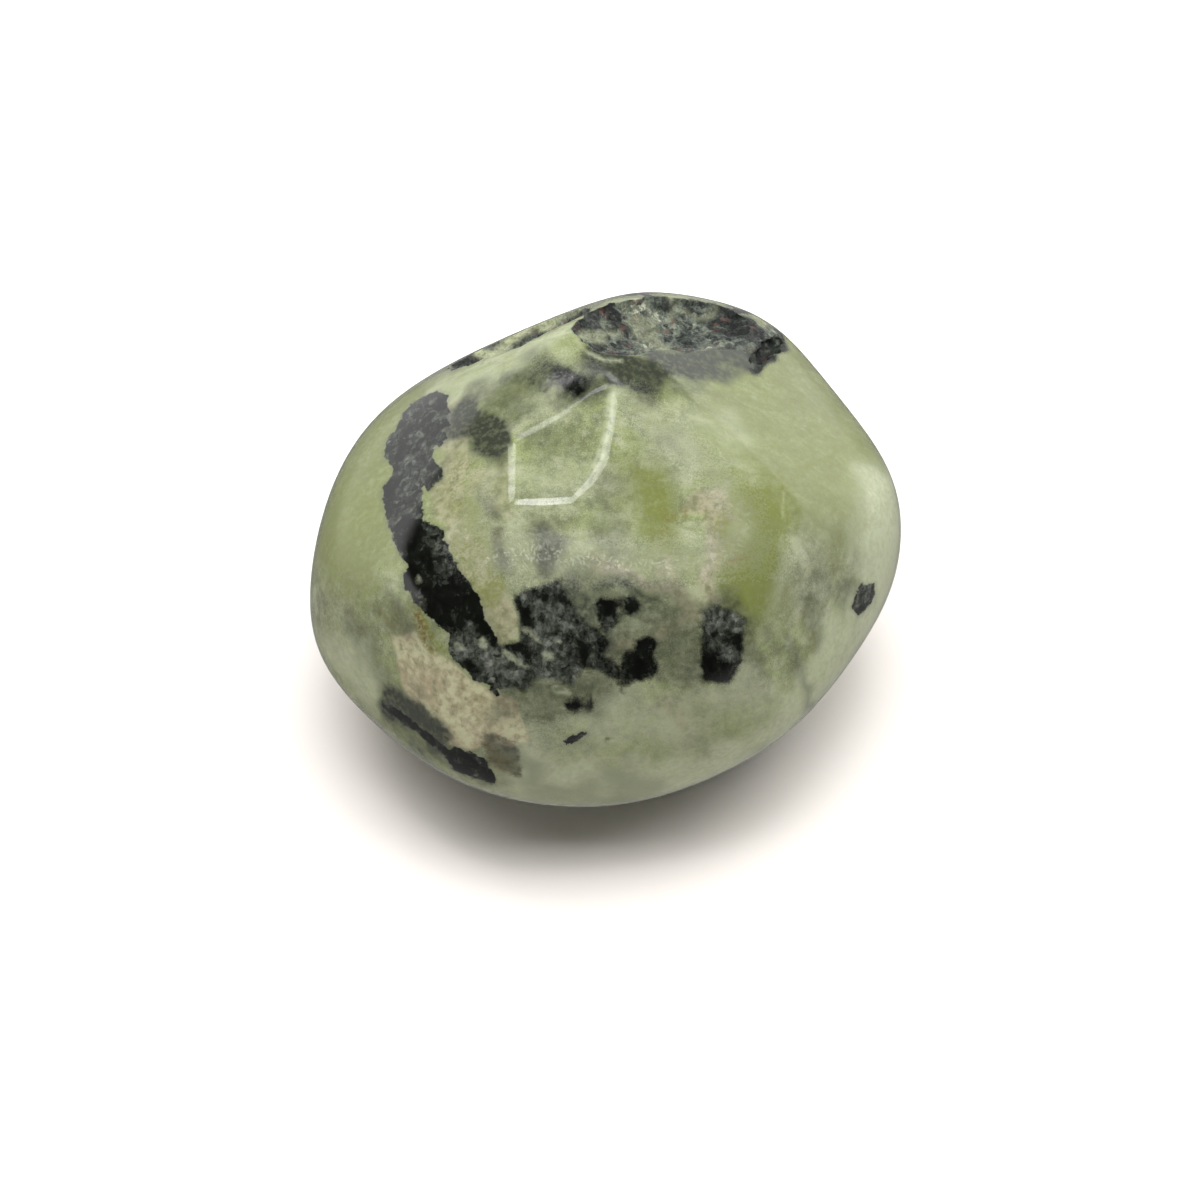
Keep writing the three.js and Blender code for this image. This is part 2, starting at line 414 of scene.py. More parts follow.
speckled = {
    "floor's left": ([(455, 645), (480, 655), (505, 675)], 34, 1.0),
    "floor": ([(515, 660), (545, 655), (560, 672)], 44, 0.8),
    "green block": ([(538, 602), (555, 622)], 34, 0.6),
    "right block": ([(712, 618), (728, 624), (722, 650)], 30, 0.7),
    "band's middle": ([(425, 575), (436, 592)], 16, 0.6),
    "band's top": ([(405, 408), (412, 416)], 10, 0.5),
    "end spot": ([(860, 600), (868, 594)], 14, 0.9),
    "low left": ([(452, 760), (480, 772)], 10, 0.8),
}

# Patches with ragged edges: pinkish feldspar, and brown-grey stone along the low left side.
pink_outlines = {
    "low left patch": [
        (390, 634), (404, 636), (416, 630), (424, 642), (437, 652), (456, 664), (466, 676), (484, 686),
        (500, 694), (516, 702), (524, 722), (530, 742), (510, 746), (486, 742), (470, 750), (446, 744),
        (436, 724), (420, 710), (404, 690), (398, 664),
    ],
    "floor patch": [(532, 656), (546, 652), (554, 659), (548, 666), (538, 665)],
}
brown_outlines = {
    "low left block": [
        (482, 734), (491, 732), (497, 737), (510, 739), (519, 752), (518, 764), (523, 779), (512, 777),
        (503, 770), (494, 768), (486, 752),
    ],
    "low left knot": [
        (402, 700), (414, 702), (428, 710), (436, 720), (440, 734), (430, 732), (416, 722), (406, 712),
    ],
}

# Yellow-green and rusty stains.
moss_strokes = {
    "beside the tan strip": ([(764, 502), (748, 508), (733, 528), (730, 556), (738, 592)], 34, 0.7),
    "along the arc": ([(730, 520), (748, 503), (772, 498)], 6, 0.8),
    "above the tan": ([(722, 480), (760, 478)], 18, 0.5),
    "round the dome": ([(727, 532), (738, 512), (752, 499), (774, 496), (779, 520), (776, 552)], 4, 1.0),
    "vein on the right": ([(776, 496), (800, 472), (832, 452), (862, 440)], 4, 0.9),
    "low vein": ([(812, 600), (806, 640), (790, 690)], 4, 0.8),
    "left vein": ([(352, 560), (372, 580), (390, 620)], 4, 0.7),
    "brown-yellow": ([(640, 470), (655, 510), (664, 550)], 18, 0.8),
    "brown-yellow line": ([(634, 458), (640, 478), (650, 490), (654, 512)], 4, 1.0),
    "brown-yellow edge": ([(650, 500), (668, 508), (676, 530)], 5, 0.8),
    "along the band": ([(414, 604), (428, 626), (440, 650)], 14, 1.0),
    "left of the middle": ([(462, 510), (468, 548), (486, 584)], 34, 0.7),
    "left end": ([(345, 500), (350, 560), (340, 620)], 50, 0.35),
    "upper left": ([(500, 395), (515, 384)], 22, 0.25),
    "right end": ([(845, 430), (862, 500)], 60, 0.2),
    "right middle": ([(840, 540), (838, 575)], 20, 0.3),
    "low left edge": ([(330, 670), (350, 712), (400, 752), (440, 778)], 9, 0.7),
    "under the middle": ([(600, 560), (586, 572)], 14, 0.35),
    "right fringe": ([(704, 685), (722, 686)], 5, 0.9),
    "by the end spot": ([(852, 588), (858, 582)], 5, 0.6),
    "crown's right": ([(700, 440), (740, 452), (768, 470)], 10, 0.3),
    "arc on the right": ([(770, 472), (800, 455), (820, 430)], 6, 0.3),
}
rust_strokes = {
    "along the band": ([(422, 618), (434, 640)], 10, 0.9),
    "streak's end": ([(437, 648), (440, 653)], 6, 0.7),
    "band's speck": ([(410, 470), (412, 478)], 10, 0.5),
    "brown-yellow": ([(660, 512), (672, 516)], 6, 0.5),
    "brown-yellow low": ([(664, 520), (664, 532)], 4, 0.4),
    "dot line": ([(727, 562), (740, 558)], 5, 0.6),
    "smudge": ([(390, 612), (408, 628)], 22, 0.3),
    "brown cloud": ([(496, 530), (500, 545)], 12, 0.4),
    "pit's blade": ([(745, 369), (752, 364)], 7, 0.9),
    "low left edge": ([(412, 762), (432, 776)], 5, 0.6),
    "tan corner": ([(684, 506), (688, 516)], 6, 0.5),
    "brown block": ([(492, 745), (506, 766)], 16, 0.35),
}

# Places that the polish left duller.
dull_strokes = {
    "under the crown": ([(470, 556), (600, 564), (770, 556)], 50, 1.0),
    "right of the crown": ([(634, 400), (700, 460), (750, 512)], 38, 1.0),
    "behind the crown": ([(540, 366), (572, 358), (590, 364)], 22, 1.0),
    "left of the crown": ([(468, 480), (474, 530)], 36, 1.0),
}

# The hollows' floors aren't one colour: where they are pale crystal and where they are darkest.
pale_floors = {
    "back hollow": ([(478, 358), (500, 346), (530, 328), (556, 318)], 13, 0.95),
    "back hollow's head": ([(566, 314), (582, 306)], 6, 0.5),
    "pit's streaks": ([(640, 326), (652, 336), (662, 348)], 20, 0.35),
    "pit's crystal": ([(660, 300), (664, 302)], 6, 1.0),
    "flat shard": ([(588, 330), (604, 338)], 16, 0.45),
    "pit's far wall": ([(668, 312), (712, 318)], 8, 0.3),
}
dark_floors = {
    "pit's left": ([(588, 318), (604, 312), (618, 322)], 22, 1.0),
    "pit's left foot": ([(582, 342), (600, 352), (622, 356)], 12, 1.0),
    "pit's right": ([(724, 318), (738, 328), (752, 334)], 30, 1.0),
    "pit's middle": ([(668, 330), (690, 342)], 16, 0.5),
    "pit's blade": ([(748, 366), (764, 355), (782, 342)], 16, 1.1),
    "ridge's foot": ([(437, 378), (470, 364), (500, 351), (530, 338), (571, 326)], 5, 1.0),
}

# The hidden side, by bearing and rise from the heart in degrees, with each stroke's width in
# millimetres: the amphibole runs round the back as it does on the front.
hidden_blacks = {
    "back band": ([(128, 22), (116, 12), (104, 6), (92, -6), (74, -14), (60, -34)], 2.2),
    "band's branch": ([(104, 6), (112, -10), (110, -30)], 0.9),
    "left lump": ([(158, -14), (170, -24)], 2.6),
    "low right": ([(22, -38), (38, -28), (50, -34)], 1.8),
    "under": ([(240, -62), (210, -74), (150, -66)], 2.2),
    "front under": ([(300, -52), (322, -46)], 1.5),
    "dot 1": ([(42, 16), (44, 18)], 0.8),
    "dot 2": ([(72, -18), (74, -20)], 0.9),
    "dot 3": ([(138, 14), (141, 12)], 0.6),
    "dot 4": ([(188, -12), (190, -14)], 1.0),
    "dot 5": ([(8, -58), (14, -60)], 0.8),
    "dot 6": ([(95, -48), (104, -52)], 1.4),
}
hidden_creams = {
    "beside the back band": ([(96, 14), (80, 4), (66, -8)], 2.6, 0.9),
    "left": ([(140, -2), (150, 6)], 2.2, 0.8),
    "under": ([(200, -50), (170, -50)], 3.0, 0.8),
}
hidden_veils = {
    "back": ([(86, 30), (96, 26)], 2.6, 0.8),
    "back low": ([(84, -34), (66, -38)], 3.0, 0.7),
    "left back": ([(130, -14), (138, -20)], 2.4, 0.7),
    "right back": ([(30, -8), (38, 0)], 2.0, 0.6),
    "under left": ([(190, -46), (182, -34)], 2.0, 0.7),
    "under front": ([(270, -62), (280, -56)], 3.0, 0.6),
}
hidden_moss = {
    "back": ([(60, -6), (70, 2)], 2.4, 0.6),
    "left back": ([(146, -28), (158, -36)], 2.4, 0.7),
    "under": ([(330, -60), (350, -56)], 2.6, 0.6),
}


def in_picture(places):
    """Where each place falls in the picture, in pixels."""
    away = places - np.array(eye)
    closeness = view_distance / -(away @ np.array(to_eye))
    scale = closeness * pixels_per_mm / mm
    across = picture_side / 2 + away @ np.array(to_right) * scale
    down = picture_side / 2 - away @ np.array(to_top) * scale
    return np.stack([across, down], axis=1)


def off_line(spots, start, end):
    side = end - start
    away = spots - start
    share = np.clip(away @ side / (side @ side), 0, 1)
    rest = away - share[:, None] * side
    return np.sqrt((rest * rest).sum(axis=1))


def off_outline(spots, outline):
    """Millimetres from each spot to an outline, less than nothing inside it."""
    corners = np.array(outline, float)
    nearest = np.full(len(spots), np.inf)
    inside = np.zeros(len(spots), bool)
    for start, end in zip(corners, np.roll(corners, -1, axis=0)):
        nearest = np.minimum(nearest, off_line(spots, start, end))
        level = (start[1] > spots[:, 1]) != (end[1] > spots[:, 1])
        drop = end[1] - start[1] if end[1] != start[1] else 1
        crossing = start[0] + (spots[:, 1] - start[1]) / drop * (end[0] - start[0])
        inside ^= level & (spots[:, 0] < crossing)
    return np.where(inside, -nearest, nearest) / pixels_per_mm


def off_stroke(spots, points, width):
    corners = np.array(points, float)
    nearest = np.min([off_line(spots, a, b) for a, b in zip(corners, corners[1:])], axis=0)
    return (nearest - width / 2) / pixels_per_mm


def nearest_marking(spots, outlines, strokes):
    offs = [off_outline(spots, outline) for outline in outlines.values()]
    offs += [off_stroke(spots, points, width) for points, width in strokes.values()]
    return np.min(offs, axis=0)


def soft(off, blur):
    """1 inside a marking and 0 outside it, with an edge this many millimetres wide."""
    share = np.clip(0.5 - off / blur, 0, 1)
    return share * share * (3 - 2 * share)


def soft_strokes(off, spots, strokes, blur):
    """The strongest of several soft strokes, each with its width and its strength."""
    washes = [share * soft(off(spots, points, width), blur) for points, width, share in strokes.values()]
    return np.max(washes, axis=0)


def off_hidden(places, points, width):
    """Millimetres from each place to a stroke on the hidden side."""
    typical_reach = 13
    aims = [(math.radians(bearing), math.radians(rise)) for bearing, rise in points]
    corners = np.array([(math.cos(r) * math.cos(b), math.cos(r) * math.sin(b), math.sin(r))
                        for b, r in aims])
    ways = places - np.array(heart)
    ways /= np.linalg.norm(ways, axis=1)[:, None]
    nearest = np.min([off_line(ways, a, b) for a, b in zip(corners, corners[1:])], axis=0)
    return nearest * typical_reach - width / 2


# The soft markings drift a little off their strokes, without a pattern but alike in every run:
# how far and over what distance, in millimetres.
drift_seed = 3
drift_reach = 0.9
drift_size = 1.4
drift_in_picture = 0.8
noise.seed_set(drift_seed)


def wandering(places):
    """A smooth random shift of each place, in millimetres."""
    return drift_reach * np.array([noise.noise_vector(Vector(place) / (drift_size * mm)) for place in places])


# The pit runs out to the right in a shallow rough end that hardly dips.
shallow_end = [
    (738, 312), (754, 316), (770, 324), (783, 335), (785, 345), (772, 357), (752, 370), (743, 371),
    (742, 364), (752, 353), (742, 348), (722, 350), (722, 330),
]

# The crown has one facet that the wear left a hair proud: its worn edges catch the lamps.
proud_facet = [
    (512, 441), (528, 433), (560, 416), (592, 393), (606, 387), (617, 390), (611, 425), (604, 460),
    (590, 482), (572, 500), (545, 502), (512, 502),
]
proud_height = 0.035
shoulder = 0.5

# Finer faces round that facet, where the black has crisp edges and where the hollows break the
# skin: how often or how near, in millimetres, and between which shares of the way to the rim.
shoulder_rounds = 2
crisp_edges = (0.45, 0.1)
rim_rings = ((0.8, 1.25), (0.9, 1.15))
blend_turns = 4


def raise_facet(piece):
    places = vertex_places(piece)
    normals = vertex_normals(piece)
    raised_by = proud_height * mm * soft(off_outline(in_picture(places), proud_facet), shoulder)
    raised_by[normals @ np.array(to_eye) < 0] = 0
    piece.data.vertices.foreach_set("co", (places + normals * raised_by[:, None]).astype(np.float32).ravel())
    piece.data.update()


def seen_faces(piece):
    return read_vectors(piece.data.polygons, "normal") @ np.array(to_eye) > 0


for _ in range(shoulder_rounds):
    off_facet = off_outline(in_picture(face_middles(stone)), proud_facet)
    split_faces(stone, seen_faces(stone) & (np.abs(off_facet) < shoulder))
for near in crisp_edges:
    off_edge = nearest_marking(in_picture(face_middles(stone)), black_outlines, black_strokes)
    split_faces(stone, seen_faces(stone) & (np.abs(off_edge) < near))
for inner, outer in rim_rings:
    reach = nearest_mouth(face_middles(stone))
    split_faces(stone, (reach > inner) & (reach < outer))
rub(stone, blend_turns)
raise_facet(stone)


# The rough hollows. They are cut by the lumps that are missing from them, squarish pebbles run
# together, whose undersides have the steps and grains of broken crystals: each by its pattern, the
# width of its lumps and their height, in millimetres.
cutter_rows = 22
raised = 0.5
squareness = 0.85
mouth_widening = 1.07
broken_steps = [("CLOUDS", 1.6, 0.45), ("VORONOI", 0.8, 0.4)]
broken_grains = [("VORONOI", 0.3, 0.1), ("CLOUDS", 0.12, 0.04)]
grain_voxel = 0.085
broken_slot = 1
rim_margin = 0.02
rim_turns = 4


def roughen(piece, kind, size, height):
    texture = bpy.data.textures.new(piece.name + "_" + kind.lower(), kind)
    texture.noise_scale = size * mm
    apply_modifier(piece, "DISPLACE", texture=texture, texture_coords="LOCAL", strength=height * mm)


def missing_lump(name, hollow):
    bpy.ops.object.select_all(action="DESELECT")
    bpy.ops.mesh.primitive_cube_add(size=2)
    missing = bpy.context.object
    missing.name = "missing_from_" + name
    edit_all(missing, bpy.ops.mesh.subdivide, number_cuts=cutter_rows - 1)
    apply_modifier(missing, "CAST", factor=squareness, size=1.0, use_radius_as_size=False)
    thick = hollow["depth"] / (1 - raised)
    along, across, up = mouth_axes(hollow)
    middle = (Vector(hollow["at"]) + thick * raised * up) * mm
    half_length, half_width = (half * mouth_widening for half in hollow["half"])
    sizes = Matrix.Diagonal([size * mm for size in (half_length, half_width, thick)])
    turn = Matrix((along, across, up)).transposed()
    missing.matrix_world = Matrix.Translation(middle) @ (turn @ sizes).to_4x4()
    select_only(missing)
    bpy.ops.object.transform_apply(location=True, rotation=True, scale=True)
    return missing


missing_lumps = [missing_lump(name, hollow) for name, hollow in hollows.items()]
for missing in missing_lumps:
    missing.select_set(True)
bpy.ops.object.join()
missing = bpy.context.object
for pattern in (broken_steps, broken_grains):
    apply_modifier(missing, "REMESH", mode="VOXEL", voxel_size=grain_voxel * mm)
    for kind, size, height in pattern:
        roughen(missing, kind, size, height)
missing.data.materials.append(bpy.data.materials.new("broken"))
apply_modifier(stone, "BOOLEAN", object=missing, operation="DIFFERENCE", solver="EXACT",
               material_mode="TRANSFER")
bpy.data.objects.remove(missing)


def broken_share(piece):
    """1 on the cut faces' vertices and 0 on the skin's, blurred a little across the rim."""
    mesh = piece.data
    edges = np.empty(len(mesh.edges) * 2, np.int32)
    mesh.edges.foreach_get("vertices", edges)
    starts, ends = edges.reshape(-1, 2).T
    share = np.zeros(len(mesh.vertices))
    for face in mesh.polygons:
        if face.material_index == broken_slot:
            share[list(face.vertices)] = 1
    around = np.bincount(starts, share[ends], len(share))
    around += np.bincount(ends, share[starts], len(share))
    neighbours = np.bincount(edges, minlength=len(share))
    return (share + around / neighbours) / 2


broken = broken_share(stone)
rim = group_of(stone, "rim", (broken > rim_margin) & (broken < 1 - rim_margin))
rub(stone, rim_turns, vertex_group=rim)
stone.vertex_groups.clear()

bpy.data.objects.remove(lump)
bpy.data.objects.remove(hull)


# Where each vertex lies in the markings, kept on the mesh for the material to read. Those of the
# seen side end where the skin turns away, and the hidden ones start there. Soft markings have the
# width of their edge, in millimetres.
outline_slope = 3
fade_slope = 4
farthest = 1
hidden_blur = 1.2
dull_blur = 1.6
run_out_blur = 0.2
ragged_markings = {
    "sunken": (sunken_outlines, sunken_strokes),
    "pink": (pink_outlines, {}),
    "brown": (brown_outlines, {}),
    "splinter": ({}, splinters_and_painted_highlights),
}
washes_all_round = {
    "veil": (veils, hidden_veils, 0.8),
    "cream": (creams, hidden_creams, 0.35),
    "moss": (moss_strokes, hidden_moss, 0.5),
}
seen_washes = {
    "darkest": ({name: (*stroke, 1.0) for name, stroke in darkest_spots.items()}, 0.5),
    # The pale and shade washes carry painted light and painted shade as well.
    "pale": (milky_and_painted_light, 2.2),
    "shade": (deeper_green_and_painted_shade, 2.5),
    "rust": (rust_strokes, 0.3),
    "pale_floor": (pale_floors, 0.4),
    "dark_floor": (dark_floors, 0.6),
    "speckle": (speckled, 0.5),
}


def keep_values(name, values):
    attribute = stone.data.attributes.new(name, "FLOAT", "POINT")
    attribute.data.foreach_set("value", values.astype(np.float32))


def keep_distances(name, off):
    keep_values(name, np.clip(off, -farthest, farthest))


places = vertex_places(stone)
drift = wandering(places)
spots = in_picture(places)
loose_spots = spots + drift[:, :2] * pixels_per_mm * drift_in_picture
loose_places = places + drift * mm
towards_eye = vertex_normals(stone) @ np.array(to_eye)
past_outline = outline_slope * np.clip(-towards_eye, 0, 1)
before_outline = outline_slope * np.clip(towards_eye, 0, 1)
seen_share = np.clip(1 + fade_slope * towards_eye, 0, 1)
hidden_share = np.clip(-fade_slope * towards_eye, 0, 1)

front_black = nearest_marking(spots, black_outlines, black_strokes) + past_outline
back_black = np.min([off_hidden(loose_places, *stroke) for stroke in hidden_blacks.values()], axis=0)
keep_distances("black", np.minimum(front_black, back_black + before_outline))
for name, (outlines, strokes) in ragged_markings.items():
    keep_distances(name, nearest_marking(spots, outlines, strokes) + past_outline)
for name, (seen_strokes, hidden_strokes, blur) in washes_all_round.items():
    seen_wash = soft_strokes(off_stroke, loose_spots, seen_strokes, blur)
    hidden_wash = soft_strokes(off_hidden, loose_places, hidden_strokes, hidden_blur)
    keep_values(name, seen_wash * seen_share + hidden_wash * hidden_share)
for name, (strokes, blur) in seen_washes.items():
    keep_values(name, soft_strokes(off_stroke, loose_spots, strokes, blur) * seen_share)
keep_values("dull", soft_strokes(off_stroke, spots, dull_strokes, dull_blur) * seen_share)
run_out = soft(off_outline(loose_spots, shallow_end), run_out_blur) * seen_share
keep_values("mouth", np.maximum(broken, run_out))

select_only(stone)
bpy.ops.object.shade_smooth()


# The stone's material. Pale green stone, clouded and slightly see-through, with cream feldspar,
# yellow-green stains and black amphibole; it is glossy where it is polished, and in the hollows
# it is a mass of broken grains. Everything is laid out in millimetres.
def node(tree, kind, inputs=None, **settings):
    made = tree.nodes.new(kind)
    for name, value in settings.items():
        setattr(made, name, value)
    for name, value in (inputs or {}).items():
        if isinstance(value, bpy.types.NodeSocket):
            tree.links.new(value, made.inputs[name])
        else:
            made.inputs[name].default_value = value
    return made


def maths(tree, operation, first, second, clamp=False):
    inputs = {0: first, 1: second}
    return node(tree, "ShaderNodeMath", inputs, operation=operation, use_clamp=clamp).outputs[0]


def times(tree, first, second, clamp=False):
    return maths(tree, "MULTIPLY", first, second, clamp)


def added(tree, *values):
    total = values[0]
    for value in values[1:]:
        total = maths(tree, "ADD", total, value)
    return total


def swing(tree, cloud, reach):
    """A noise as a shift to either side of nothing."""
    return times(tree, maths(tree, "SUBTRACT", cloud, 0.5), reach)


def between(tree, value, low, high, to_low=0.0, to_high=1.0):
    """A smooth step from to_low to to_high as the value goes from low to high."""
    ends = {"Value": value, "From Min": low, "From Max": high, "To Min": to_low, "To Max": to_high}
    return node(tree, "ShaderNodeMapRange", ends, interpolation_type="SMOOTHSTEP").outputs["Result"]


def laid_over(tree, share, under, over):
    """One colour over another, each a socket or three numbers."""
    colours = [c if isinstance(c, bpy.types.NodeSocket) else (*c, 1) for c in (under, over)]
    return node(tree, "ShaderNodeMix", {0: share, 6: colours[0], 7: colours[1]}, data_type="RGBA").outputs[2]


def tinted(tree, colour, value, step, tint, share=1.0):
    """A colour that turns to the tint, up to this share, as the value goes through the step."""
    return laid_over(tree, between(tree, value, *step, 0, share), colour, tint)


def clouds(tree, place, size, detail, roughness, distortion=0.0):
    """A noise whose lumps are about this many millimetres across."""
    inputs = {"Vector": place, "Scale": 1 / size, "Detail": detail, "Roughness": roughness,
              "Distortion": distortion}
    return node(tree, "ShaderNodeTexNoise", inputs).outputs["Fac"]


def stretched(tree, place, turn, lengths):
    """The same places, squeezed along turned axes, so that a noise in them is drawn out."""
    inputs = {"Vector": place, "Rotation": turn, "Scale": [1 / length for length in lengths]}
    return node(tree, "ShaderNodeMapping", inputs, vector_type="POINT").outputs["Vector"]


def kept_value(tree, name):
    return node(tree, "ShaderNodeAttribute", attribute_name=name).outputs["Fac"]


def cells(tree, place, size, **settings):
    """A pattern of cells about this many millimetres across."""
    return node(tree, "ShaderNodeTexVoronoi", {"Vector": place, "Scale": 1 / size}, **settings)


def chances(tree, pattern):
    """Three random values for each cell of a pattern."""
    return node(tree, "ShaderNodeSeparateColor", {0: pattern.outputs["Color"]}).outputs


def bent(tree, place, size, reach):
    """The same places, each shifted a little by a noise with lumps of this size."""
    inputs = {"Vector": place, "Scale": 1 / size, "Detail": 3.0}
    shift = node(tree, "ShaderNodeTexNoise", inputs).outputs["Color"]
    inputs = {0: shift, 1: [2 * reach] * 3, 2: place}
    return node(tree, "ShaderNodeVectorMath", inputs, operation="MULTIPLY_ADD").outputs[0]


def toned(tree, value, steps):
    """A colour for each value, blended between steps that are given as (value, colour)."""
    ramp = node(tree, "ShaderNodeValToRGB", {0: value})
    while len(ramp.color_ramp.elements) < len(steps):
        ramp.color_ramp.elements.new(0.5)
    for element, (at, tint) in zip(ramp.color_ramp.elements, steps):
        element.position = at
        element.color = (*tint, 1)
    return ramp.outputs["Color"]


greens = {
    "grey": (0.205, 0.222, 0.138),
    "leaf": (0.205, 0.24, 0.1),
    "pale": (0.31, 0.33, 0.215),
    "deep": (0.11, 0.123, 0.064),
    # Deeper green, which is also the colour of the painted shade.
    "older_green_and_shade": (0.13, 0.148, 0.046),
    "smoke": (0.1, 0.11, 0.075),
}
cream = (0.27, 0.255, 0.165)
cream_shade = (0.14, 0.14, 0.078)
pink = (0.32, 0.27, 0.175)
pink_pale = (0.4, 0.39, 0.25)
moss = (0.13, 0.145, 0.036)
rust = (0.12, 0.08, 0.02)
brown = (0.065, 0.063, 0.042)
veil_green = (0.03, 0.034, 0.024)
# Milky green, which is also the colour of the painted bounce light, sheen and highlights.
milky_and_painted_light_tint = (0.36, 0.39, 0.265)
amphibole_green = (0.085, 0.096, 0.07)
amphibole_tones = [(0.0, (0.0016, 0.002, 0.0012)), (0.3, (0.005, 0.006, 0.0042)),
                   (0.5, (0.021, 0.0235, 0.018)), (0.68, (0.055, 0.061, 0.05)),
                   (0.84, (0.095, 0.101, 0.086)), (1.0, (0.16, 0.165, 0.14))]
floor_tones = [(0.0, (0.005, 0.006, 0.005)), (0.28, (0.018, 0.022, 0.018)), (0.48, (0.06, 0.07, 0.056)),
               (0.66, (0.105, 0.12, 0.09)), (0.84, (0.165, 0.18, 0.125)), (1.0, (0.36, 0.37, 0.28))]
pale_crystal = (0.3, 0.32, 0.19)
rusty_grain = (0.16, 0.06, 0.04)

# The surface: its roughness where it is polished, by how much the wear dulls it, and that of the
# broken grains, with their sizes in millimetres.
polished_roughness = (0.06, 0.12)
dulled_by = (0.12, 0.46)
broken_roughness = (0.45, 0.8)
coarse_grain = 0.32
fine_grain = 0.1
grit_height = 0.0011 * mm
polished_surface = {
    "IOR": 1.55,
    "Specular IOR Level": 0.42,
    "Subsurface Weight": 0.3,
    "Subsurface Radius": (1.0, 1.1, 0.6),
    "Subsurface Scale": 0.6 * mm,
}

# The noises in the stone: the width of their lumps, in millimetres, their detail, their roughness
# and how far they are twisted. The wisps are drawn out along turned axes first.
noise_looks = {
    "broad": (6.0, 2.0, 0.55),
    "lumps": (1.6, 5.0, 0.6, 0.3),
    "smoke": (1.3, 6.0, 0.62, 0.8),
    "small": (0.45, 4.0, 0.6),
    "mottles": (0.3, 4.0, 0.6),
    "spread": (0.25, 5.0, 0.68, 0.4),
    "wear": (0.14, 2.0, 0.6),
    "grit": (0.07, 2.0, 0.6),
}
wisp_look = (1.0, 4.0, 0.55, 0.3)
wisp_turn = (0.2, 0.7, 0.6)
wisp_lengths = (2.2, 0.8, 1.3)

# The greens that follow them, in the order in which they lie over one another: between which two
# values each comes in, and its strongest share. The grit's come last.
green_tints = [
    ("broad", (0.4, 0.62), "leaf", 1.0),
    ("lumps", (0.5, 0.68), "pale", 0.75),
    ("lumps", (0.5, 0.3), "deep", 0.8),
    ("smoke", (0.48, 0.66), "smoke", 0.62),
    ("wisps", (0.5, 0.68), "pale", 0.6),
    ("wisps", (0.48, 0.28), "deep", 0.4),
    ("small", (0.5, 0.72), "pale", 0.5),
    ("small", (0.5, 0.28), "deep", 0.6),
]
grit_tints = [
    ("grit", (0.5, 0.75), "pale", 0.6),
    ("grit", (0.5, 0.25), "deep", 0.6),
]


def stone_noises(tree, place):
    noises = {name: clouds(tree, place, *look) for name, look in noise_looks.items()}
    noises["wisps"] = clouds(tree, stretched(tree, place, wisp_turn, wisp_lengths), *wisp_look)
    return noises


def crystal_edges(tree, place, broad):
    """The faint edges of big crystals, as a share."""
    crystals_per_mm = 0.3
    line_width = 0.045
    crystals = cells(tree, bent(tree, place, 1.4, 0.5), 1 / crystals_per_mm, feature="DISTANCE_TO_EDGE")
    edges = between(tree, crystals.outputs["Distance"], line_width, 0.0, 0, 0.35)
    return times(tree, edges, between(tree, broad, 0.4, 0.6))


def dark_specks(tree, place):
    """A few round specks, as a share."""
    speck_spacing = 0.5
    strongest = 0.5
    specks = cells(tree, place, speck_spacing)
    dots = between(tree, specks.outputs["Distance"], 0.16, 0.06)
    few = between(tree, chances(tree, specks)[0], 0.72, 0.8)
    return times(tree, times(tree, dots, few), strongest)


def green_body(tree, place, noises):
    """Clouds and wisps of several greens, faint edges of crystals, specks, and the finest grit."""
    colour = greens["grey"]
    for name, step, tint, share in green_tints:
        colour = tinted(tree, colour, noises[name], step, greens[tint], share)
    colour = laid_over(tree, crystal_edges(tree, place, noises["broad"]), colour, greens["deep"])
    colour = laid_over(tree, dark_specks(tree, place), colour, veil_green)
    for name, step, tint, share in grit_tints:
        colour = tinted(tree, colour, noises[name], step, greens[tint], share)
    return colour


def cream_feldspar(tree, noises):
    return tinted(tree, cream_shade, noises["small"], (0.3, 0.65), cream)


def pinkish_feldspar(tree, noises):
    patches = added(tree, noises["lumps"], swing(tree, noises["small"], 0.8))
    colour = tinted(tree, pink, patches, (0.38, 0.62), pink_pale)
    colour = tinted(tree, colour, noises["grit"], (0.55, 0.75), cream, 0.6)
    return tinted(tree, colour, noises["small"], (0.42, 0.3), cream_shade, 0.5)


def amphibole(tree, place):
    """Crowded small crystals, blackest where they are thick and palest where feldspar is among them."""
    middle_tone = 0.44
    darkening = -0.36
    speckling = 0.2
    blade_turn = (0.3, 0.35, 0.9)
    blade_lengths = (0.2, 0.5, 0.4)
    shifted = bent(tree, place, 0.3, 0.12)
    coarse = chances(tree, cells(tree, shifted, 0.34))[0]
    fine = chances(tree, cells(tree, shifted, 0.17))[0]
    mottles = clouds(tree, place, 0.6, 5.0, 0.65, 0.5)
    blades = clouds(tree, stretched(tree, place, blade_turn, blade_lengths), 1.0, 4.0, 0.65)
    swings = ((coarse, 0.3), (fine, 0.18), (mottles, 1.3), (blades, 0.55))
    tone = added(tree, middle_tone, *[swing(tree, value, reach) for value, reach in swings])
    tone = added(tree, tone, times(tree, kept_value(tree, "darkest"), darkening))
    tone = added(tree, tone, times(tree, kept_value(tree, "speckle"), speckling))
    return toned(tree, tone, amphibole_tones)


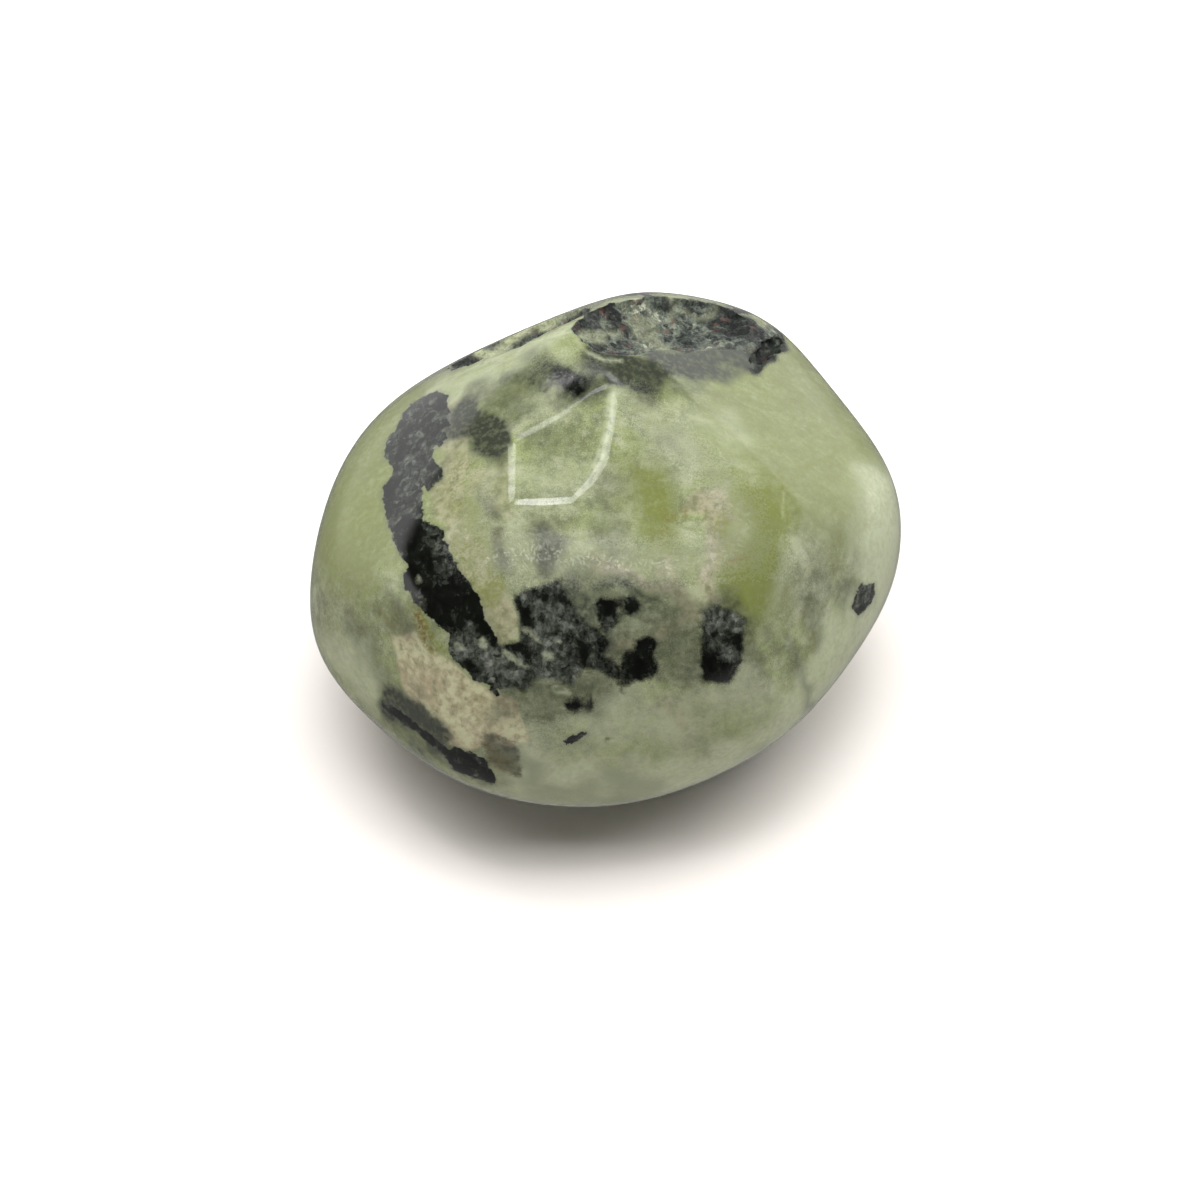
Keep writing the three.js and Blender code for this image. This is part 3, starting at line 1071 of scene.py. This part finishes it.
def broken_crystals(tree, lumps, coarse, fine):
    """The hollows' floors: dark green to beige grains, with pale ones and a few rusty ones."""
    lowest_tone = 0.02
    darkening = -0.3
    tone = added(tree, times(tree, coarse[0], 0.45), times(tree, fine[0], 0.4), swing(tree, lumps, 1.4))
    tone = added(tree, tone, lowest_tone, times(tree, kept_value(tree, "dark_floor"), darkening))
    colour = tinted(tree, toned(tree, tone, floor_tones), coarse[2], (0.94, 0.97), rusty_grain, 0.3)
    pale = times(tree, kept_value(tree, "pale_floor"), between(tree, fine[2], 0.0, 0.9, 0.55, 1.0))
    return laid_over(tree, pale, colour, pale_crystal)


def marked(tree, colour, place, noises):
    """The green body with its markings, and its painted light and shade, laid over it in order."""
    lumps, small = noises["lumps"], noises["small"]
    wander = added(tree, swing(tree, lumps, 0.5), swing(tree, small, 0.45), swing(tree, noises["grit"], 0.16))
    mottles = between(tree, noises["mottles"], 0.3, 0.7, 0.78, 1.15)
    spread = between(tree, noises["spread"], 0.38, 0.62, 0.25, 1.15)
    off_black = added(tree, kept_value(tree, "black"), swing(tree, lumps, 1.0))
    crystals = amphibole(tree, place)

    def wash(name, broken_up):
        """A soft marking, broken up by a noise."""
        return times(tree, kept_value(tree, name), broken_up, clamp=True)

    def patch(name, edge, thinned=1.0):
        """A marking with a ragged edge this many millimetres wide, thinned by a noise."""
        off = added(tree, kept_value(tree, name), wander)
        return times(tree, between(tree, off, edge / 2, -edge / 2), thinned)

    markings = (
        # The shade wash is partly painted shade, and the pale wash partly painted light.
        (wash("shade", mottles), greens["older_green_and_shade"]),
        (wash("pale", mottles), milky_and_painted_light_tint),
        (wash("cream", mottles), cream_feldspar(tree, noises)),
        (patch("pink", 0.16, between(tree, small, 0.35, 0.6, 0.55, 0.95)), pinkish_feldspar(tree, noises)),
        (patch("brown", 0.3, between(tree, small, 0.3, 0.6, 0.95, 0.6)), brown),
        (wash("moss", spread), moss),
        (wash("rust", spread), rust),
        (wash("veil", mottles), veil_green),
        (between(tree, off_black, 0.3, -0.05, 0, 0.35), amphibole_green),
        (patch("sunken", 0.35), crystals),
        (patch("black", 0.07), crystals),
        # The splinters include painted highlights on the worn rims and the crown's edge.
        (patch("splinter", 0.2, between(tree, small, 0.35, 0.6, 0.15, 0.6)), milky_and_painted_light_tint),
    )
    for share, tint in markings:
        colour = laid_over(tree, share, colour, tint)
    return colour


def polished_green_stone():
    material = bpy.data.materials.new("polished_green_stone")
    material.use_nodes = True
    tree = material.node_tree
    shader = tree.nodes["Principled BSDF"]
    to_mm = {"Vector": node(tree, "ShaderNodeTexCoord").outputs["Object"], "Scale": [1 / mm] * 3}
    place = node(tree, "ShaderNodeMapping", to_mm).outputs["Vector"]
    noises = stone_noises(tree, place)
    coarse = chances(tree, cells(tree, place, coarse_grain))
    fine = chances(tree, cells(tree, place, fine_grain))
    broken = kept_value(tree, "mouth")
    colour = marked(tree, green_body(tree, place, noises), place, noises)
    floors = broken_crystals(tree, noises["lumps"], coarse, fine)
    tree.links.new(laid_over(tree, broken, colour, floors), shader.inputs["Base Color"])

    polish = between(tree, noises["grit"], 0.3, 0.8, *polished_roughness)
    worn = between(tree, noises["wear"], 0.38, 0.62, *dulled_by)
    polish = added(tree, polish, times(tree, kept_value(tree, "dull"), worn))
    facets = between(tree, fine[1], 0.2, 0.9, *broken_roughness)
    gloss = node(tree, "ShaderNodeMix", {0: broken, 2: polish, 3: facets}).outputs[0]
    tree.links.new(gloss, shader.inputs["Roughness"])
    grit = {"Height": noises["grit"], "Strength": 0.5, "Distance": grit_height}
    tree.links.new(node(tree, "ShaderNodeBump", grit).outputs["Normal"], shader.inputs["Normal"])
    for name, value in polished_surface.items():
        shader.inputs[name].default_value = value
    return material


stone.data.materials.clear()
stone.data.materials.append(polished_green_stone())

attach(stone, "root")
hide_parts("stone")


# The floor. It is a plain sheet of matt white paper, much wider than the picture.
sheet_side = 0.7
sheet_white = (0.83, 0.785, 0.755, 1)
sheet_roughness = 0.9
bpy.ops.object.select_all(action="DESELECT")
bpy.ops.mesh.primitive_plane_add(size=sheet_side)
floor = bpy.context.object
floor.name = "floor"
white = bpy.data.materials.new("white_sheet")
white.use_nodes = True
sheet = white.node_tree.nodes["Principled BSDF"]
sheet.inputs["Base Color"].default_value = sheet_white
sheet.inputs["Roughness"].default_value = sheet_roughness
floor.data.materials.append(white)
floor.visible_glossy = False


# Light. A wide softbox overhead lights the stone, and a frame of thin lamps is all that the polish
# mirrors of it. Pale paper curves up behind the stone and at its sides, to about 20 degrees up;
# past it and towards the camera the room is dark.
paper_glow = 1.5
room_glow = 0.06
floor_glow = 0.65
under_glow = 0.24
paper_edge = (math.sin(math.radians(26)), math.sin(math.radians(17)))
paper_ends = (-0.55, -0.15)
floor_edge = (-0.25, 0.02)
floor_depth = (-0.75, -0.1)
world = bpy.data.worlds.new("room")
bpy.context.scene.world = world
world.use_nodes = True
tree = world.node_tree
towards = node(tree, "ShaderNodeTexCoord").outputs["Generated"]
split = node(tree, "ShaderNodeSeparateXYZ", {0: towards})
rise, depth = split.outputs["Z"], split.outputs["Y"]
paper = times(tree, between(tree, rise, *paper_edge), between(tree, depth, *paper_ends))
glow = between(tree, paper, 0, 1, room_glow, paper_glow)
over_floor = between(tree, rise, *floor_edge)
floor_seen = between(tree, rise, *floor_depth, under_glow, floor_glow)
glow = node(tree, "ShaderNodeMix", {0: over_floor, 2: floor_seen, 3: glow}).outputs[0]
seen = node(tree, "ShaderNodeLightPath").outputs["Is Camera Ray"]
strength = node(tree, "ShaderNodeMix", {0: seen, 2: glow, 3: 1.0}).outputs[0]
tree.links.new(strength, tree.nodes["Background"].inputs["Strength"])
tree.nodes["Background"].inputs["Color"].default_value = (1, 1, 1, 1)

crown = Vector((-2 * mm, 0, 20 * mm))
lamp_height = 280 * mm
soft_glow = 5.0
softbox_lift = 1.15


def overhead_lamp(name, start, end, width, glow):
    """A lamp along a line over the crown, its ends and width in shares of its height above it."""
    along = Vector(end) - Vector(start)
    middle = (Vector(start) + Vector(end)) / 2
    place = crown + Vector((middle.x, middle.y, 1)) * lamp_height
    turn = math.atan2(along.y, along.x)
    bpy.ops.object.light_add(type="AREA", location=place, rotation=(0, 0, turn))
    made = bpy.context.object
    made.name = name
    made.data.shape = "RECTANGLE"
    made.data.size = along.length * lamp_height
    made.data.size_y = width * lamp_height
    made.data.energy = glow * math.pi * made.data.size * made.data.size_y
    return made


softbox = overhead_lamp("softbox", (-0.85, 0.14), (1.1, 0.14), 1.3, soft_glow)
softbox.location.z *= softbox_lift
softbox.visible_glossy = False
frame_lamps = {
    "frame_left": ((-0.36, 0.08), (-0.72, 0.44), 0.09, 5.5),
    "frame_back_left": ((-0.56, 0.58), (-0.28, 0.33), 0.08, 5.0),
    "frame_back": ((-0.28, 0.33), (0.1, 0.42), 0.08, 5.0),
    "frame_corner": ((0.14, 0.42), (0.3, 0.28), 0.1, 5.0),
    "frame_right": ((0.28, 0.22), (0.21, 0.03), 0.17, 5.0),
    "frame_right_front": ((0.21, 0.03), (0.21, -0.13), 0.17, 4.6),
    "frame_front_right": ((0.18, -0.13), (0.0, -0.18), 0.08, 6.5),
    "frame_front": ((0.0, -0.17), (-0.19, -0.13), 0.11, 11.0),
}
for name, lamp in frame_lamps.items():
    overhead_lamp(name, *lamp)

bpy.context.scene.view_settings.view_transform = "Standard"
